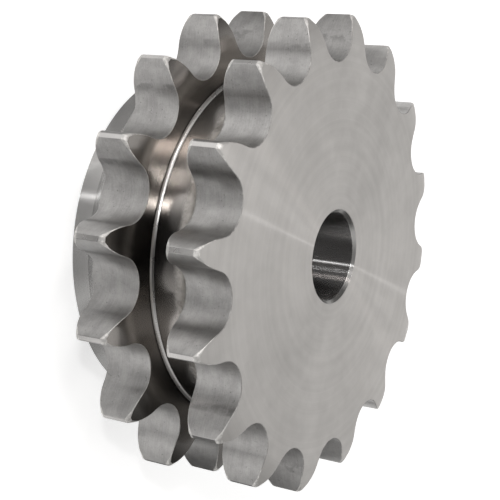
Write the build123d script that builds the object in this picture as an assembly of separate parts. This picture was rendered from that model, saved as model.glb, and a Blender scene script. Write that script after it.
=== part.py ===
"""Double chain sprocket with a hub on one side, turned and hobbed from one piece of steel.

Frame: the bore's axis is Z. The hub's end face lies at z = 0 and the flat toothed face is on top.
A tooth gap is centred on +X. All lengths are in millimetres.
"""
import os
from math import asin, cos, radians, sin, sqrt, tan

from build123d import *

# The chain that runs on it, with two strands
chain_pitch = 25.4
roller_diameter = 15.88
chain_inner_width = 15.75
strand_spacing = 29.29
link_plate_height = 24.13

# Teeth
tooth_count = 16
tooth_addendum = 5.3  # how far the tips stand out past the pitch circle
seat_factor = 0.505  # seat radius over roller diameter
seat_clearance = 0.5  # added to the seat radius, so that a worn chain still seats
seat_angle = 139.0  # degrees of roller seat between the two flanks
flank_radius = 17.1
width_factor = 0.93  # tooth width over the chain's inner width
side_radius_factor = 1.0  # side rounding over chain pitch, which leads the link plates on to the teeth
side_rounding_height = 11.4  # how far below the tips that rounding starts

# Groove between the two rows
plate_height_factor = 1.04
plate_clearance = 0.76
groove_corner_chamfer = 0.8  # between the groove's floor and the hub-side row
groove_fillet_size = 6.5  # between the groove's floor and the face-side row

# Hub and bore
hub_diameter = 100.0
hub_length = 14.06
hub_edge_chamfer = 1.0
hub_shoulder_chamfer = 7.7  # between the hub and the hub-side row
bore_diameter = 26.0
bore_chamfer = 1.0

# Cutter overrun past the blank, which leaves no mark on the piece
overrun = 2.0

# What follows from them
half_step = 180.0 / tooth_count  # degrees from a gap's middle to a tooth's middle
pitch_radius = chain_pitch / (2 * sin(radians(half_step)))
chord_height = chain_pitch / (2 * tan(radians(half_step)))  # from the axis to a link's centre line
seat_radius = seat_factor * roller_diameter + seat_clearance
tip_radius = pitch_radius + tooth_addendum
side_radius = side_radius_factor * chain_pitch
row_width = width_factor * chain_inner_width
groove_radius = chord_height - (plate_height_factor * link_plate_height + plate_clearance) / 2
hub_radius = hub_diameter / 2
bore_radius = bore_diameter / 2

hub_row_bottom = hub_length
hub_row_top = hub_row_bottom + row_width
face_row_bottom = hub_row_bottom + strand_spacing
face_row_top = face_row_bottom + row_width
overall_length = face_row_top


def side_rounding(face, inward):
    """Points of the curve that thins a row from its flat side out to the tips.

    The curve is tangent to the side at z = face. inward is 1 where the teeth are above that side,
    and -1 where they are below it. The middle point is where the tangents at the two ends meet.
    """
    turn = asin(side_rounding_height / side_radius)
    start = tip_radius - side_rounding_height
    depth = side_radius * (1 - cos(turn))
    corner = start + side_radius * tan(turn / 2)
    return (start, face), (corner, face), (tip_radius, face + inward * depth)


def turned_section():
    """Half section of the piece as it leaves the lathe, drawn in the XZ plane."""
    bore_edge = bore_radius + bore_chamfer
    with BuildSketch(Plane.XZ) as section:
        with BuildLine():
            stretches = [
                Polyline(
                    (bore_edge, overall_length),
                    (bore_radius, overall_length - bore_chamfer),
                    (bore_radius, bore_chamfer),
                    (bore_edge, 0),
                ),
                Line((hub_radius - hub_edge_chamfer, 0), (hub_radius, hub_edge_chamfer)),
                Line(
                    (hub_radius, hub_row_bottom - hub_shoulder_chamfer),
                    (hub_radius + hub_shoulder_chamfer, hub_row_bottom),
                ),
                Bezier(*side_rounding(hub_row_bottom, 1)),
                Bezier(*side_rounding(hub_row_top, -1)[::-1]),
                Line(
                    (groove_radius + groove_corner_chamfer, hub_row_top),
                    (groove_radius, hub_row_top + groove_corner_chamfer),
                ),
                Bezier(
                    (groove_radius, face_row_bottom - groove_fillet_size),
                    (groove_radius, face_row_bottom),
                    (groove_radius + groove_fillet_size, face_row_bottom),
                ),
                Bezier(*side_rounding(face_row_bottom, 1)),
                Bezier(*side_rounding(face_row_top, -1)[::-1]),
            ]
            for stretch, following in zip(stretches, stretches[1:] + stretches[:1]):
                Line(stretch @ 1, following @ 0)
        make_face()
    return section.sketch


def gap_outline():
    """Tooth gap about +X: a roller seat on the pitch circle, then a convex flank on each side."""
    half_seat = radians(seat_angle / 2)
    seat_centre = Vector(pitch_radius, 0)
    towards_flank = Vector(-cos(half_seat), sin(half_seat))
    seat_end = seat_centre + towards_flank * seat_radius
    flank_centre = seat_centre + towards_flank * (seat_radius + flank_radius)

    # where the flank's circle crosses the circle that the cutter runs out to
    reach = tip_radius + overrun
    distance = flank_centre.length
    along = (reach**2 - flank_radius**2 + distance**2) / (2 * distance)
    aside = sqrt(reach**2 - along**2)
    outward = flank_centre.normalized()
    flank_end = outward * along + Vector(outward.Y, -outward.X) * aside
    middle_direction = ((seat_end + flank_end) / 2 - flank_centre).normalized()
    flank_middle = flank_centre + middle_direction * flank_radius

    def mirrored(point):
        return Vector(point.X, -point.Y)

    with BuildSketch() as gap:
        with BuildLine():
            ThreePointArc(seat_end, seat_centre - Vector(seat_radius, 0), mirrored(seat_end))
            ThreePointArc(seat_end, flank_middle, flank_end)
            ThreePointArc(mirrored(seat_end), mirrored(flank_middle), mirrored(flank_end))
            ThreePointArc(flank_end, Vector(reach, 0), mirrored(flank_end))
        make_face()
    return gap.sketch


def sprocket():
    """The whole piece: a turned blank with one gap cutter worked round it through both rows."""
    blank = revolve(turned_section(), Axis.Z, 360)
    cutter = extrude(gap_outline(), overall_length + 2 * overrun).moved(Location((0, 0, -overrun)))
    return blank - PolarLocations(0, tooth_count) * cutter


if __name__ == "__main__":
    os.makedirs("parts", exist_ok=True)
    export_step(sprocket(), "parts/sprocket.step")
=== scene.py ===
"""Looks of the two-row chain sprocket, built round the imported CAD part."""
import math

import bpy
import numpy as np
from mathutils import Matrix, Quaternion, Vector


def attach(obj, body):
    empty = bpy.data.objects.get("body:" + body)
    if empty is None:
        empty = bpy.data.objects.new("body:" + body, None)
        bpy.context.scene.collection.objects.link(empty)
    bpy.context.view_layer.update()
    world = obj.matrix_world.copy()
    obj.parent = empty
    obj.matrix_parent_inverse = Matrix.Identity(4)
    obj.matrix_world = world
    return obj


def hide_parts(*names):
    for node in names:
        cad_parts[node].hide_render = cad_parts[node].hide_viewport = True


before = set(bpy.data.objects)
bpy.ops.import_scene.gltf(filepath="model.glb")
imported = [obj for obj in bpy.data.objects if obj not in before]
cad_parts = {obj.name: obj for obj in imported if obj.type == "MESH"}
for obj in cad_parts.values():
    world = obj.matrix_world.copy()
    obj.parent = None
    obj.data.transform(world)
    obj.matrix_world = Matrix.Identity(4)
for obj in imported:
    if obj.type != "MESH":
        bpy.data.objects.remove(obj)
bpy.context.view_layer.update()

MM = 0.001

# The chain that runs on it, in millimetres
PITCH = 25.4
ROLLER_DIAMETER = 15.88
INNER_WIDTH = 15.75
STRAND_SPACING = 29.29
PLATE_HEIGHT = 24.13

# Sizes in millimetres, the same as the solid's
TEETH = 16
SEAT_RADIUS = 0.505 * ROLLER_DIAMETER + 0.5
HALF_SEAT = math.radians(139.0 / 2)
SEAT_END = 64.2  # how far from the axis the painted shade of the seats ends
FLANK_RADIUS = 17.1
PITCH_RADIUS = PITCH / (2 * math.sin(math.pi / TEETH))
TIP_RADIUS = PITCH_RADIUS + 5.3
ROW_WIDTH = 0.93 * INNER_WIDTH
SIDE_RADIUS = PITCH
SIDE_HEIGHT = 11.4
HUB_RADIUS = 50.0
HUB_LENGTH = 14.06
HUB_CHAMFER = 1.0
HUB_SHOULDER = 7.7
GROOVE_RADIUS = PITCH / (2 * math.tan(math.pi / TEETH)) - (1.04 * PLATE_HEIGHT + 0.76) / 2
GROOVE_CHAMFER = 0.8
GROOVE_FILLET = 6.5
BORE_RADIUS = 13.0
BORE_CHAMFER = 1.0
LOW_ROW = (HUB_LENGTH, HUB_LENGTH + ROW_WIDTH)
TOP_ROW = (HUB_LENGTH + STRAND_SPACING, HUB_LENGTH + STRAND_SPACING + ROW_WIDTH)

# Broken edges, in millimetres
FLANK_EDGE = 0.2
TIP_EDGE = 1.0
ROOT_EDGE = 0.9  # where the cutter runs out through the fillet over the groove
CORNER = 0.35
TURNED_EDGE = 0.15
ROOT_EDGE_END = 61.0  # radius where the deep broken edge of the gaps ends
ROOT_EDGE_FADE = 4.0  # how far inside that radius it has its full depth
TIP_EDGE_FADE = 2.6  # how far inside the tips the round edge starts

# Steps of the mesh
SEAT_STEPS = 12
FLANK_STEPS = 7
CORNER_STEPS = 3
SIDE_STEPS = 9
EDGE_STEPS = 5
FILLET_STEPS = 9
RING_GAP = 0.04  # least distance between the rings of a side, in millimetres
CREASE_GAP = 1e-5  # between the two rings at a crease, each with the normals of its own side
SHOULDER_LEAD = 0.5  # from the hub to the first ring on its shoulder
GROOVE_LEAD = 0.01  # from the chamfer's edge to the first ring past it
TINY = 1e-6

ZONES = ("face", "wall", "edge", "land", "groove", "hub", "bore")


# Outline of the teeth, seen along the axis

def half_gap():
    """Points and outward normals from a gap's middle, on +X, to the middle of the next tooth."""
    points, normals = [], []
    seat_centre = np.array([PITCH_RADIUS, 0.0])
    for angle in np.linspace(0, HALF_SEAT, SEAT_STEPS + 1):
        inwards = np.array([-math.cos(angle), math.sin(angle)])
        points.append(seat_centre + SEAT_RADIUS * inwards)
        normals.append(-inwards)
    away = np.array([-math.cos(HALF_SEAT), math.sin(HALF_SEAT)])
    flank_centre = seat_centre + (SEAT_RADIUS + FLANK_RADIUS) * away

    # centre of the small corner arc that touches both the flank and the tip circle
    distance = np.linalg.norm(flank_centre)
    outward = flank_centre / distance
    sideways = np.array([outward[1], -outward[0]])
    to_tip, to_flank = TIP_RADIUS - CORNER, FLANK_RADIUS - CORNER
    along = (to_tip**2 - to_flank**2 + distance**2) / (2 * distance)
    corner_centre = outward * along + sideways * math.sqrt(to_tip**2 - along**2)

    start = math.atan2(*(-away)[::-1])
    end = math.atan2(*(corner_centre - flank_centre)[::-1])
    for angle in np.linspace(start, end, FLANK_STEPS + 1)[1:]:
        normal = np.array([math.cos(angle), math.sin(angle)])
        points.append(flank_centre + FLANK_RADIUS * normal)
        normals.append(normal)
    last = math.atan2(*corner_centre[::-1])
    for angle in np.linspace(end, last, CORNER_STEPS + 1)[1:]:
        normal = np.array([math.cos(angle), math.sin(angle)])
        points.append(corner_centre + CORNER * normal)
        normals.append(normal)
    tooth_middle = math.pi / TEETH
    normal = np.array([math.cos(tooth_middle), math.sin(tooth_middle)])
    points.append(TIP_RADIUS * normal)
    normals.append(normal)
    return np.array(points), np.array(normals)


def full_outline():
    """The whole outline, with its outward normals, and whether the step after a point is on a land."""
    points, normals = half_gap()
    steps = SEAT_STEPS + FLANK_STEPS + CORNER_STEPS
    mirror = np.array([1, -1])
    pitch_points = np.vstack([points[::-1] * mirror, points[1:]])[:-1]
    pitch_normals = np.vstack([normals[::-1] * mirror, normals[1:]])[:-1]
    land = np.zeros(len(pitch_points), bool)
    land[0] = land[2 * steps + 1] = True
    turned_points, turned_normals = [], []
    for tooth in range(TEETH):
        angle = 2 * math.pi * tooth / TEETH
        turn = np.array([[math.cos(angle), math.sin(angle)], [-math.sin(angle), math.cos(angle)]])
        turned_points.append(pitch_points @ turn)
        turned_normals.append(pitch_normals @ turn)
    return np.vstack(turned_points), np.vstack(turned_normals), np.tile(land, TEETH)


POINTS, NORMALS, LAND = full_outline()
COUNT = len(POINTS)
REACH = np.linalg.norm(POINTS, axis=1)
RADIAL = POINTS / REACH[:, None]


def broken_edge(at_root):
    """How far the edge between a row's side and its outline is broken, and where that starts on the side.

    It is at_root deep in the tooth gaps, slight along the flanks, and round at the tips.
    """
    near_root = np.clip((ROOT_EDGE_END - REACH) / ROOT_EDGE_FADE, 0, 1)
    near_tip = np.clip((REACH - TIP_RADIUS + TIP_EDGE_FADE) / TIP_EDGE_FADE, 0, 1)
    square = FLANK_EDGE + (at_root - FLANK_EDGE) * near_root**2 * (3 - 2 * near_root)
    radial = (TIP_EDGE - FLANK_EDGE) * near_tip**2 * (3 - 2 * near_tip)
    return square + radial, POINTS - square[:, None] * NORMALS - radial[:, None] * RADIAL


# Sides of the rows: height and slope over the radius

def flat_side(radius, face, inward):
    """Height and slope of a row's side, flat near the axis and curving in towards the tips."""
    start = TIP_RADIUS - SIDE_HEIGHT
    turn = math.asin(SIDE_HEIGHT / SIDE_RADIUS)
    depth = SIDE_RADIUS * (1 - math.cos(turn))
    corner = SIDE_RADIUS * math.tan(turn / 2)
    over = np.maximum(radius - start, 0)
    bend = SIDE_HEIGHT - 2 * corner
    t = (-corner + np.sqrt(corner**2 + bend * over)) / bend
    rate = 2 * (corner * (1 - t) + (SIDE_HEIGHT - corner) * t)
    return face + inward * depth * t**2, inward * depth * 2 * t / rate


def side_over_hub(radius):
    """Hub-side row's lower side, with the 45-degree shoulder that carries it from the hub."""
    height, slope = flat_side(radius, LOW_ROW[0], 1)
    on_cone = radius < HUB_RADIUS + HUB_SHOULDER - TINY
    cone = LOW_ROW[0] - (HUB_RADIUS + HUB_SHOULDER - radius)
    return np.where(on_cone, cone, height), np.where(on_cone, 1.0, slope)


def side_under_groove(radius):
    """Hub-side row's upper side."""
    return flat_side(radius, LOW_ROW[1], -1)


def side_over_groove(radius):
    """Face-side row's lower side, with the fillet that carries it from the groove's floor."""
    height, slope = flat_side(radius, TOP_ROW[0], 1)
    share = np.sqrt(np.clip((radius - GROOVE_RADIUS) / GROOVE_FILLET, TINY, 1))
    in_fillet = share < 1
    fillet = TOP_ROW[0] - GROOVE_FILLET * (1 - share) ** 2
    return np.where(in_fillet, fillet, height), np.where(in_fillet, (1 - share) / share, slope)


def side_on_face(radius):
    """Face-side row's upper side, which is the big face of the piece."""
    return flat_side(radius, TOP_ROW[1], -1)


# Rings of the mesh

rings = []  # each with its points, the normals of the strips before and after it, and the next zone


def add_ring(flat, height, normals_before, normals_after, zone):
    """Adds one ring of the mesh. zone is that of the strip after it."""
    points = np.column_stack([flat, np.broadcast_to(height, COUNT)])
    rings.append((points, normals_before, normals_after, zone))


def turned_normal(slope, up):
    """Normals of a turned surface that rises by slope over the radius and faces up (1) or down (-1)."""
    slope = np.broadcast_to(slope, COUNT)[:, None]
    normals = np.hstack([-up * slope * RADIAL, np.full((COUNT, 1), float(up))])
    return normals / np.linalg.norm(normals, axis=1)[:, None]


def circle(radius, height, before, after, zone):
    """A plain turned ring. before and after are the normals there, each (outward, up)."""
    def spread(normal):
        outward, up = np.array(normal) / math.hypot(*normal)
        return np.hstack([outward * RADIAL, np.full((COUNT, 1), up)])
    add_ring(RADIAL * radius, height, spread(before), spread(after), zone)


def broken_circle(radius, height, before, after, reach, zone, next_zone):
    """A turned outer edge between two surfaces with those normals, broken over reach each way."""
    before = np.array(before) / math.hypot(*before)
    after = np.array(after) / math.hypot(*after)
    # the section runs with the material on its left, so its direction is the normal turned by a right angle
    sharp = np.array([radius, height])
    first = sharp - reach * np.array([-before[1], before[0]])
    last = sharp + reach * np.array([-after[1], after[0]])
    for step in range(EDGE_STEPS + 1):
        t = step / EDGE_STEPS
        place = first * (1 - t) ** 2 + sharp * 2 * t * (1 - t) + last * t**2
        normal = before * (1 - t) + after * t
        circle(*place, normal, normal, zone if step < EDGE_STEPS else next_zone)


def side_rings(side, up, stops, zone, outwards, at_root):
    """Rings over one side of a row, from the stops' radii to the broken edge at the outline."""
    _, inset = broken_edge(at_root)
    reach = np.linalg.norm(inset, axis=1)
    made = []
    for place, stop in enumerate(stops):
        radius = np.minimum(stop, reach - RING_GAP * (len(stops) + SIDE_STEPS - place))
        height, slope = side(radius)
        made.append((RADIAL * radius[:, None], height, turned_normal(slope, up)))
    inner = made[-1][0]
    for step in range(1, SIDE_STEPS + 1):
        share = step / SIDE_STEPS
        flat = inner * (1 - share) + inset * share
        height, slope = side(np.linalg.norm(flat, axis=1))
        made.append((flat, height, turned_normal(slope, up)))
    rows = made if outwards else made[::-1]
    for place, (flat, height, normals) in enumerate(rows):
        last = outwards and place == len(rows) - 1
        add_ring(flat, height, normals, normals, "edge" if last else zone)


def edge_rings(side, up, outwards, at_root):
    """Rings round the broken edge between a row's side and the walls of its teeth."""
    depth, inset = broken_edge(at_root)
    side_height, side_slope = side(np.linalg.norm(inset, axis=1))
    sharp_height, _ = side(REACH)
    on_side = np.column_stack([inset, side_height])
    sharp = np.column_stack([POINTS, sharp_height])
    on_wall = np.column_stack([POINTS, sharp_height - up * depth])
    side_normal = turned_normal(side_slope, up)
    wall_normal = np.column_stack([NORMALS, np.zeros(COUNT)])
    made = []
    for step in range(1, EDGE_STEPS + 1):
        t = step / EDGE_STEPS
        points = on_side * (1 - t) ** 2 + sharp * 2 * t * (1 - t) + on_wall * t**2
        normals = side_normal * (1 - t) + wall_normal * t
        normals /= np.linalg.norm(normals, axis=1)[:, None]
        made.append((points, normals))
    for place, (points, normals) in enumerate(made if outwards else made[::-1]):
        zone = "wall" if outwards and place == EDGE_STEPS - 1 else "edge"
        add_ring(points[:, :2], points[:, 2], normals, normals, zone)


def row(low_side, low_stops, low_zone, low_root, high_side, high_stops, high_zone):
    """Both sides of one row and the walls between them, from the axis out and back in."""
    side_rings(low_side, -1, low_stops, low_zone, True, low_root)
    edge_rings(low_side, -1, True, low_root)
    edge_rings(high_side, 1, False, FLANK_EDGE)
    side_rings(high_side, 1, high_stops, high_zone, False, FLANK_EDGE)


def section():
    """All rings, from the bore's lower chamfer out, up and back down the bore."""
    start = TIP_RADIUS - SIDE_HEIGHT
    shoulder_end = HUB_RADIUS + HUB_SHOULDER
    groove_edge = GROOVE_RADIUS + GROOVE_CHAMFER
    diagonal = (1, -1)
    broken_circle(BORE_RADIUS + BORE_CHAMFER, 0, (-1, -1), (0, -1), TURNED_EDGE, "bore", "hub")
    broken_circle(HUB_RADIUS - HUB_CHAMFER, 0, (0, -1), diagonal, TURNED_EDGE, "hub", "hub")
    broken_circle(HUB_RADIUS, HUB_CHAMFER, diagonal, (1, 0), TURNED_EDGE, "hub", "hub")
    circle(HUB_RADIUS, LOW_ROW[0] - HUB_SHOULDER, (1, 0), diagonal, "hub")
    over_hub = (HUB_RADIUS + SHOULDER_LEAD, shoulder_end - CREASE_GAP, shoulder_end, start)
    under_groove = (groove_edge + GROOVE_LEAD, start)
    row(side_over_hub, over_hub, "hub", FLANK_EDGE, side_under_groove, under_groove, "groove")
    circle(groove_edge, LOW_ROW[1], (0, 1), (0.5, 1), "land")
    circle(GROOVE_RADIUS, LOW_ROW[1] + GROOVE_CHAMFER, (1, 0.4), (1, 0), "groove")
    circle(GROOVE_RADIUS, TOP_ROW[0] - GROOVE_FILLET, (1, 0), (1, 0), "groove")
    shares = [(step / FILLET_STEPS) ** 2 for step in range(1, FILLET_STEPS + 1)]
    over_groove = (*[GROOVE_RADIUS + GROOVE_FILLET * share for share in shares], start)
    row(side_over_groove, over_groove, "groove", ROOT_EDGE, side_on_face, (start,), "face")
    broken_circle(BORE_RADIUS + BORE_CHAMFER, TOP_ROW[1], (0, 1), (-1, 1), TURNED_EDGE, "face", "hub")
    broken_circle(BORE_RADIUS, TOP_ROW[1] - BORE_CHAMFER, (-1, 1), (-1, 0), TURNED_EDGE, "bore", "bore")
    broken_circle(BORE_RADIUS, BORE_CHAMFER, (-1, 0), (-1, -1), TURNED_EDGE, "bore", "bore")


def build_mesh(name):
    """Joins the rings to one closed mesh, with the worked-out normals on its corners."""
    section()
    total = len(rings)
    vertices = np.vstack([points for points, *_ in rings]) * MM
    around = np.arange(COUNT)
    following = (around + 1) % COUNT
    faces, corner_normals, zones = [], [], []
    for index, (_, _, after, zone) in enumerate(rings):
        other = (index + 1) % total
        before = rings[other][1]
        faces.append(np.column_stack([index * COUNT + around, index * COUNT + following,
                                      other * COUNT + following, other * COUNT + around]))
        corners = [after[around], after[following], before[following], before[around]]
        corner_normals.append(np.stack(corners, 1))
        strip = np.full(COUNT, ZONES.index(zone))
        if zone == "wall":
            strip[LAND] = ZONES.index("land")
        zones.append(strip)
    faces, corner_normals, zones = np.vstack(faces), np.vstack(corner_normals), np.concatenate(zones)
    mesh = bpy.data.meshes.new(name)
    mesh.from_pydata(vertices.tolist(), [], faces.tolist())
    mesh.polygons.foreach_set("material_index", zones.astype(np.int32))
    mesh.polygons.foreach_set("use_smooth", np.ones(len(faces), bool))
    mesh.update()
    mesh.normals_split_custom_set(corner_normals.reshape(-1, 3).tolist())
    piece = bpy.data.objects.new(name, mesh)
    bpy.context.scene.collection.objects.link(piece)
    return piece


# Materials

class Nodes:
    """Short calls that add nodes to one material or world."""

    def __init__(self, owner):
        owner.use_nodes = True
        self.tree = owner.node_tree
        self.tree.nodes.clear()

    def add(self, kind, values=None, **settings):
        """Adds a node. values gives its inputs, by name or place, a number, a colour or another output."""
        node = self.tree.nodes.new("ShaderNode" + kind)
        for key, value in settings.items():
            setattr(node, key, value)
        for key, value in (values or {}).items():
            if isinstance(value, bpy.types.NodeSocket):
                self.tree.links.new(value, node.inputs[key])
            else:
                node.inputs[key].default_value = value
        return node

    def maths(self, operation, *values):
        """One step of arithmetic on numbers or outputs."""
        return self.add("Math", dict(enumerate(values)), operation=operation).outputs[0]

    def product(self, first, *others):
        """Multiplies numbers or outputs, from left to right."""
        for other in others:
            first = self.maths("MULTIPLY", first, other)
        return first

    def ramp(self, value, low, high, to_low=0.0, to_high=1.0):
        """A smooth step of value, which goes from to_low at low to to_high at high."""
        inputs = {0: value, 1: low, 2: high, 3: to_low, 4: to_high}
        return self.add("MapRange", inputs, interpolation_type="SMOOTHSTEP").outputs[0]

    def spread(self, noise, to_low, to_high):
        """A ramp over the middle of a noise's range, where most of its values lie."""
        return self.ramp(noise, 0.3, 0.7, to_low, to_high)

    def noise(self, scale, detail=2.0, roughness=0.5, **place):
        """Noise at place, which is a Vector or, for noise along one direction, a W."""
        inputs = {"Scale": scale, "Detail": detail, "Roughness": roughness, **place}
        dimensions = "1D" if "W" in place else "3D"
        return self.add("TexNoise", inputs, noise_dimensions=dimensions).outputs[0]

    def mix(self, share, first, second):
        """Blend of two colours."""
        node = self.add("Mix", {0: share}, data_type="RGBA")
        for place, value in ((6, first), (7, second)):
            if isinstance(value, bpy.types.NodeSocket):
                self.tree.links.new(value, node.inputs[place])
            else:
                node.inputs[place].default_value = (*value, 1)
        return node.outputs[2]


def polar(nodes):
    """Object coordinates in millimetres: the point, its radius, its angle and its height."""
    point = nodes.add("VectorMath", {0: nodes.add("TexCoord").outputs["Object"], "Scale": 1 / MM},
                      operation="SCALE").outputs[0]
    parts = nodes.add("SeparateXYZ", {0: point}).outputs
    flat = nodes.add("CombineXYZ", {0: parts[0], 1: parts[1]}).outputs[0]
    radius = nodes.add("VectorMath", {0: flat}, operation="LENGTH").outputs["Value"]
    angle = nodes.maths("ARCTAN2", parts[1], parts[0])
    return point, radius, angle, parts[2]


STREAK_ROUGHNESS = 0.26
MATT_ROUGHNESS = 0.5


def steel(name, colour, roughness, pattern, anisotropy=0.0, bump=0.0, streak=0.0, sharp=0.88, dull=None):
    """Bare machined steel. pattern gives the tool marks' height and where the metal is darker.

    The cut runs round the axis everywhere, so gloss spreads across it. streak is the share of the
    surface that is smooth along the cut and rough across it, which draws a lamp out to a line, and
    sharp says how fine that line is. bump is the marks' depth in millimetres. dull gives where the
    metal is left matt.
    """
    material = bpy.data.materials.new(name)
    nodes = Nodes(material)
    point, radius, angle, height = polar(nodes)
    marks, stain = pattern(nodes, point, radius, angle, height)
    cloud = nodes.noise(0.11, 3.0, Vector=point)
    shade = nodes.product(nodes.spread(cloud, 0.955, 1.02), stain)
    tint = nodes.add("VectorMath", {0: tuple(colour), "Scale": shade}, operation="SCALE").outputs[0]
    uneven = nodes.noise(0.3, 4.0, Vector=point)
    gloss = nodes.spread(uneven, roughness * 0.94, roughness * 1.06)
    shader = nodes.add("BsdfPrincipled", {"Base Color": tint, "Metallic": 1.0, "Roughness": gloss})
    tangent = nodes.add("Tangent", direction_type="RADIAL", axis="Z").outputs[0]
    if anisotropy:
        shader.inputs["Anisotropic"].default_value = anisotropy
        shader.inputs["Anisotropic Rotation"].default_value = 0.25
        nodes.tree.links.new(tangent, shader.inputs["Tangent"])
    if bump:
        relief = nodes.add("Bump", {"Strength": 1.0, "Distance": bump * MM, "Height": marks}).outputs[0]
        nodes.tree.links.new(relief, shader.inputs["Normal"])
    surface = shader.outputs[0]
    if streak:
        inputs = {"Color": tint, "Roughness": STREAK_ROUGHNESS, "Anisotropy": sharp, "Tangent": tangent}
        line = nodes.add("BsdfAnisotropic", inputs).outputs[0]
        surface = nodes.add("MixShader", {0: streak, 1: surface, 2: line}).outputs[0]
    if dull:
        share, matt_colour = dull(nodes, point, height)
        inputs = {"Base Color": matt_colour, "Metallic": 1.0, "Roughness": MATT_ROUGHNESS}
        matt = nodes.add("BsdfPrincipled", inputs).outputs[0]
        surface = nodes.add("MixShader", {0: share, 1: surface, 2: matt}).outputs[0]
    output = nodes.add("OutputMaterial")
    nodes.tree.links.new(surface, output.inputs[0])
    return material


# Tool marks, in cells of the noise per millimetre
FINE_CUT = 4.0
BROAD_CUT = 0.45
FEED_MARKS = (2.6, 0.16, 0.16)  # along the axis, round it and away from it
WALL_RADIUS = 66.0  # turns an angle into a length round the teeth

# Painted shade on the tooth walls where the seat runs into the flank: the radius where it starts, and how
# far from SEAT_END each step lies
SEAT_SHADE_START = 59.5
SEAT_SHADE_FULL, SEAT_SHADE_LAST, SEAT_SHADE_END = -0.8, -0.2, 0.6

# Painted shade in the groove: azimuth of the middle, inner and outer reach in degrees, and depth
PAINTED_SHADE_PLACES = ((11, 6, 14, 0.6), (84, 20, 42, 0.55))
PAINTED_SHADE_TOP = (36.0, 38.5)  # heights between which they fade out


def turned_pattern(nodes, point, radius, angle, height):
    """Rings of a facing cut, a little uneven round the piece."""
    fine = nodes.noise(1.0, W=nodes.product(radius, FINE_CUT))
    broad = nodes.noise(1.0, 3.0, W=nodes.product(radius, BROAD_CUT))
    patches = nodes.noise(0.05, Vector=point)
    tone = nodes.product(
        nodes.ramp(broad, 0.25, 0.75, 0.975, 1.025),
        nodes.spread(patches, 0.97, 1.02),
        nodes.ramp(fine, 0.25, 0.75, 0.985, 1.015),
    )
    return fine, tone


def hobbed_pattern(nodes, point, radius, angle, height):
    """Faint feed marks and a few pits, with painted shade in patches where the roller seat runs into the
    flank.
    """
    axial, around, outwards = FEED_MARKS
    place = nodes.add("CombineXYZ", {
        0: nodes.product(height, axial),
        1: nodes.product(angle, WALL_RADIUS, around),
        2: nodes.product(radius, outwards),
    }).outputs[0]
    feed = nodes.noise(1.0, Vector=place)
    grain = nodes.noise(2.6, Vector=point)
    patches = nodes.noise(0.26, 4.0, 0.6, Vector=point)
    pits = nodes.ramp(nodes.noise(1.5, Vector=point), 0.67, 0.74, 1.0, 0.64)
    # painted shade, in patches, where the roller seat runs into the flank
    seat_shade = nodes.product(
        nodes.ramp(radius, SEAT_SHADE_START, SEAT_END + SEAT_SHADE_FULL),
        nodes.ramp(radius, SEAT_END + SEAT_SHADE_LAST, SEAT_END + SEAT_SHADE_END, 1.0, 0.0),
        nodes.ramp(patches, 0.43, 0.58, 0.0, 0.36),
        nodes.ramp(nodes.noise(0.05, 1.0, Vector=point), 0.42, 0.58, 0.15, 1.0),
    )
    tone = nodes.product(
        nodes.spread(feed, 0.95, 1.04),
        nodes.spread(grain, 0.96, 1.04),
        nodes.spread(patches, 0.85, 1.06),
        nodes.maths("SUBTRACT", 1.0, seat_shade),
        pits,
    )
    return feed, tone


def groove_pattern(nodes, point, radius, angle, height):
    """Turned rings, with painted shade in a dark line round the foot of the hub-side row and in two places.
    """
    fine, tone = turned_pattern(nodes, point, radius, angle, height)
    foot, top = GROOVE_RADIUS + GROOVE_CHAMFER, LOW_ROW[1]
    # painted shade: a dark line round the foot of the hub-side row
    line = nodes.product(
        nodes.ramp(radius, foot - 0.02, foot + 0.05),
        nodes.ramp(radius, foot + 0.45, foot + 0.9, 1.0, 0.0),
        nodes.ramp(height, top + 0.2, top + 0.4, 0.65, 0.0),
    )
    # painted shade in the groove round the listed azimuths, fading out upwards
    groove_shade = 0.0
    for middle, inner, outer, depth in PAINTED_SHADE_PLACES:
        away = nodes.maths("ABSOLUTE", nodes.maths("SUBTRACT", angle, math.radians(middle)))
        there = nodes.ramp(away, math.radians(inner), math.radians(outer), depth, 0.0)
        groove_shade = nodes.maths("MAXIMUM", groove_shade, there)
    groove_shade = nodes.product(groove_shade, nodes.ramp(height, *PAINTED_SHADE_TOP, 1.0, 0.0))
    unshaded = nodes.maths("SUBTRACT", 1.0, groove_shade)
    return fine, nodes.product(tone, unshaded, nodes.maths("SUBTRACT", 1.0, line))


def dull_fillet(nodes, point, height):
    """Where the fillet under the face-side row is matt, and its blotched tone."""
    blotch = nodes.noise(0.45, 4.0, 0.6, Vector=point)
    above_foot = nodes.maths("SUBTRACT", height, TOP_ROW[0] - GROOVE_FILLET)
    ragged = nodes.maths("ADD", above_foot, nodes.product(blotch, 3.0))
    share = nodes.ramp(ragged, 0.0, 3.6, 0.0, 0.8)
    return share, nodes.mix(nodes.spread(blotch, 0.0, 1.0), (0.42, 0.4, 0.37), (0.62, 0.595, 0.565))


def worn_pattern(nodes, point, radius, angle, height):
    """Edges that handling has brightened in places, most of all towards the tips."""
    wear = nodes.noise(0.7, 4.0, 0.65, Vector=point)
    tone = nodes.product(nodes.ramp(wear, 0.4, 0.68, 0.86, 1.25), nodes.ramp(radius, 63.0, 68.0, 0.72, 1.12))
    return wear, tone


def plain_pattern(nodes, point, radius, angle, height):
    """Fine turning marks along the axis."""
    fine = nodes.noise(1.0, W=nodes.product(height, FINE_CUT))
    return fine, nodes.spread(fine, 0.97, 1.03)


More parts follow.
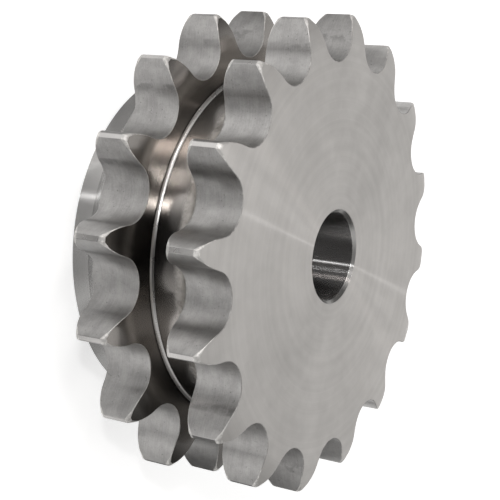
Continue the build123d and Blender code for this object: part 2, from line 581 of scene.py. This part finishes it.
def steel_materials():
    """The metal of each zone."""
    return {
        "face": steel("turned_face", (0.595, 0.578, 0.562), 0.56, turned_pattern,
                      anisotropy=0.3, bump=0.004, streak=0.09),
        # the walls' darker colour is partly their hobbed finish and partly painted shade of the tooth gaps
        "wall": steel("hobbed_wall", (0.365, 0.358, 0.351), 0.42, hobbed_pattern, anisotropy=0.2, bump=0.01),
        "edge": steel("worn_edge", (0.57, 0.56, 0.545), 0.6, worn_pattern),
        "land": steel("turned_land", (0.48, 0.47, 0.46), 0.28, plain_pattern, anisotropy=0.3, bump=0.01),
        # the groove's darker, warmer colour is partly its own tone and partly painted shade of the groove
        "groove": steel("turned_groove", (0.32, 0.302, 0.286), 0.18, groove_pattern,
                        anisotropy=0.6, bump=0.003, streak=0.2, sharp=0.6, dull=dull_fillet),
        "hub": steel("turned_hub", (0.44, 0.434, 0.426), 0.22, plain_pattern,
                     anisotropy=0.5, bump=0.004, streak=0.4),
        "bore": steel("turned_bore", (0.5, 0.492, 0.488), 0.14, plain_pattern,
                      anisotropy=0.5, bump=0.004, streak=0.45),
    }


# Stage: floor, sky and lamps

def heading(azimuth, elevation):
    """Unit vector towards that azimuth and elevation, in degrees."""
    azimuth, elevation = math.radians(azimuth), math.radians(elevation)
    level = math.cos(elevation)
    return Vector((level * math.cos(azimuth), level * math.sin(azimuth), math.sin(elevation)))


def mirror_look(nodes):
    """1 for rays that show the background itself, in the view, in gloss and in glass."""
    path = nodes.add("LightPath").outputs
    seen = nodes.maths("MAXIMUM", path["Is Camera Ray"], path["Is Glossy Ray"])
    return nodes.maths("MAXIMUM", seen, path["Is Transmission Ray"])


FLOOR_REACH = 2.5  # metres from the middle to each side
FLOOR_DROP = 0.0001  # metres below the piece

# Painted shade on the floor that only gloss sees: place, inner and outer radius in millimetres, and depth
PAINTED_FLOOR_SHADE = (
    ((0, 0), 14, 30, 0.4),
    ((25, 150), 30, 75, 0.6),
    ((-45, 140), 60, 95, 0.9),
    ((128, 24), 28, 52, 0.75),
    ((85, 49), 12, 30, 0.6),
    ((30, -135), 35, 85, 0.7),
    ((47, -39), 12, 24, 0.58),
    ((20, -52), 10, 20, 0.5),
    ((38, 46), 8, 18, 0.45),
    ((20, 54), 6, 14, 0.15),
    ((54, 12), 12, 26, 0.37),
)


def painted_shade_patch(nodes, point, place, inner, outer, depth):
    """depth within inner of that place on the floor, in millimetres, and nothing past outer."""
    distance = nodes.add("VectorMath", {0: point, 1: (*place, 0)}, operation="DISTANCE").outputs["Value"]
    return nodes.ramp(distance, inner, outer, depth, 0.0)


def make_floor():
    """White floor, with painted shade under the piece and round it that only gloss sees."""
    mesh = bpy.data.meshes.new("floor")
    signs = ((-1, -1), (1, -1), (1, 1), (-1, 1))
    corners = [(x * FLOOR_REACH, y * FLOOR_REACH, -FLOOR_DROP) for x, y in signs]
    mesh.from_pydata(corners, [], [(0, 1, 2, 3)])
    floor = bpy.data.objects.new("floor", mesh)
    bpy.context.scene.collection.objects.link(floor)
    material = bpy.data.materials.new("floor")
    nodes = Nodes(material)
    point, *_ = polar(nodes)
    # painted shade on the floor, seen only by glossy rays
    dark = 0.0
    for patch in PAINTED_FLOOR_SHADE:
        dark = nodes.maths("MAXIMUM", dark, painted_shade_patch(nodes, point, *patch))
    dark = nodes.product(dark, nodes.add("LightPath").outputs["Is Glossy Ray"])
    diffuse = nodes.add("BsdfDiffuse", {"Color": (0.8, 0.8, 0.8, 1)}).outputs[0]
    lift = nodes.add("Emission", {"Color": (1, 1, 1, 1), "Strength": 0.6}).outputs[0]
    nothing = nodes.add("Emission", {"Strength": 0.0}).outputs[0]
    top_up = nodes.add("MixShader", {0: mirror_look(nodes), 1: nothing, 2: lift}).outputs[0]
    both = nodes.add("AddShader", {0: diffuse, 1: top_up}).outputs[0]
    seen = nodes.add("MixShader", {0: dark, 1: both, 2: nothing}).outputs[0]
    output = nodes.add("OutputMaterial")
    nodes.tree.links.new(seen, output.inputs[0])
    mesh.materials.append(material)


SKY = (0.84, 0.835, 0.825)
DARK = (0.03, 0.028, 0.026)

# Dark stretches of the sky: azimuth and elevation of the middle, inner and outer reach, all in degrees,
# and depth
DARK_SKY = ((15, 26, 29, 48, 1.0), (-106, 28, 16, 40, 0.85), (132, 27, 14, 37, 0.92))


def make_world():
    """A pale sky that is dark where the camera stands and past both sides of the piece."""
    world = bpy.data.worlds.new("studio")
    bpy.context.scene.world = world
    nodes = Nodes(world)
    look = nodes.add("TexCoord").outputs["Generated"]
    dark = 0.0
    for azimuth, elevation, inner, outer, depth in DARK_SKY:
        way = tuple(heading(azimuth, elevation))
        towards = nodes.add("VectorMath", {0: look, 1: way}, operation="DOT_PRODUCT").outputs["Value"]
        limits = [math.cos(math.radians(reach)) for reach in (outer, inner)]
        there = nodes.ramp(towards, *limits, 0.0, depth)
        dark = nodes.maths("MAXIMUM", dark, there)
    shade = nodes.mix(dark, SKY, DARK)
    background = nodes.add("Background", {"Color": shade, "Strength": 1.0}).outputs[0]
    output = nodes.add("OutputWorld")
    nodes.tree.links.new(background, output.inputs[0])


WHITE = (1.0, 1.0, 1.0)
LAMP_AIM = (0, 0, 0.03)  # the piece's middle, in metres

# Name, azimuth and elevation in degrees, distance, width and height in metres, radiance and colour
LAMPS = (
    ("key", -52, 36, 1.0, 0.18, 0.24, 10.0, (1.0, 0.92, 0.88)),
    ("fill", -27, 45, 1.0, 0.3, 0.42, 1.1, (1.0, 0.95, 0.92)),
    ("glow", -9, 30, 1.0, 0.13, 0.13, 14.0, WHITE),
    ("lamp", -9, 29, 0.8, 0.036, 0.036, 240.0, WHITE),
    ("strip_1", -25.4, 33, 0.8, 0.012, 0.06, 70.0, WHITE),
    ("strip_2", -28.8, 33, 0.8, 0.012, 0.06, 70.0, WHITE),
    ("strip_3", -32.4, 33, 0.8, 0.012, 0.06, 70.0, WHITE),
)


def softbox(name, azimuth, elevation, distance, width, height, radiance, colour):
    """A lamp aimed at the piece. radiance is how bright it looks, with white at 1."""
    lamp = bpy.data.lights.new(name, "AREA")
    lamp.shape = "RECTANGLE"
    lamp.size = width
    lamp.size_y = height
    lamp.color = colour
    lamp.energy = radiance * math.pi * width * height
    holder = bpy.data.objects.new(name, lamp)
    bpy.context.scene.collection.objects.link(holder)
    way = heading(azimuth, elevation)
    holder.location = Vector(LAMP_AIM) + way * distance
    holder.rotation_euler = (-way).to_track_quat("-Z", "Y").to_euler()


# Camera, with its places in millimetres
EYE = (336.204, 48.144, 227.685)
TARGET = (-0.605, 1.425, 29.0)
LENS = 93.457
ROLL = 97.957  # degrees


def make_camera():
    """Camera at the photograph's angle, rolled so that the piece stands on its rim in the picture."""
    eye, target = Vector(EYE) * MM, Vector(TARGET) * MM
    data = bpy.data.cameras.new("camera")
    data.sensor_width = 36.0
    data.lens = LENS
    camera = bpy.data.objects.new("camera", data)
    bpy.context.scene.collection.objects.link(camera)
    level = (target - eye).to_track_quat("-Z", "Y")
    camera.rotation_mode = "QUATERNION"
    camera.rotation_quaternion = level @ Quaternion((0, 0, 1), math.radians(ROLL))
    camera.location = eye
    bpy.context.scene.camera = camera


sprocket = build_mesh("sprocket_steel")
metals = steel_materials()
for zone in ZONES:
    sprocket.data.materials.append(metals[zone])
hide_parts("sprocket")
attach(sprocket, "root")

make_floor()
make_world()
for lamp in LAMPS:
    softbox(*lamp)
make_camera()

scene = bpy.context.scene
scene.view_settings.view_transform = "Standard"
